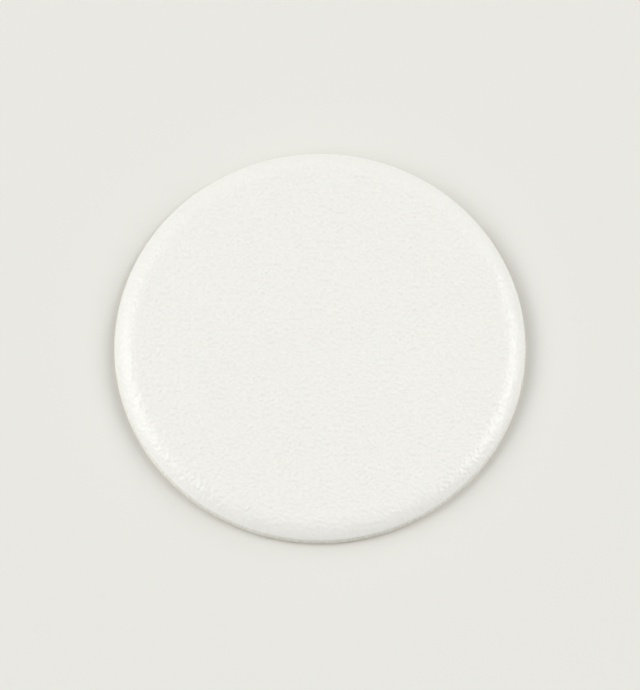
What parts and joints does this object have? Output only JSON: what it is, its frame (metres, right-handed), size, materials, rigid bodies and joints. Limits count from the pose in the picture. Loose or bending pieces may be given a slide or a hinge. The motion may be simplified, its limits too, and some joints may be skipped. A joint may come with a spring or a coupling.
{
  "type": "screw cover cap",
  "caption": "Thin round self-adhesive cap of matte white vinyl film that sticks over a screw head in a cabinet panel to hide it.",
  "frame": {"origin": "middle of the adhesive face on the back, which is also the lowest face", "axes": "+Z out of the face that shows, along the axis of the round; X and Y lie in the adhesive face and are alike"},
  "size_m": [0.0142, 0.0142, 0.0006],
  "materials": {
    "matte_vinyl": "matte off-white vinyl film with a fine grain, clear adhesive coat on the back"
  },
  "bodies": {
    "root": {"cover_cap": "matte_vinyl"}
  },
  "joints": []
}
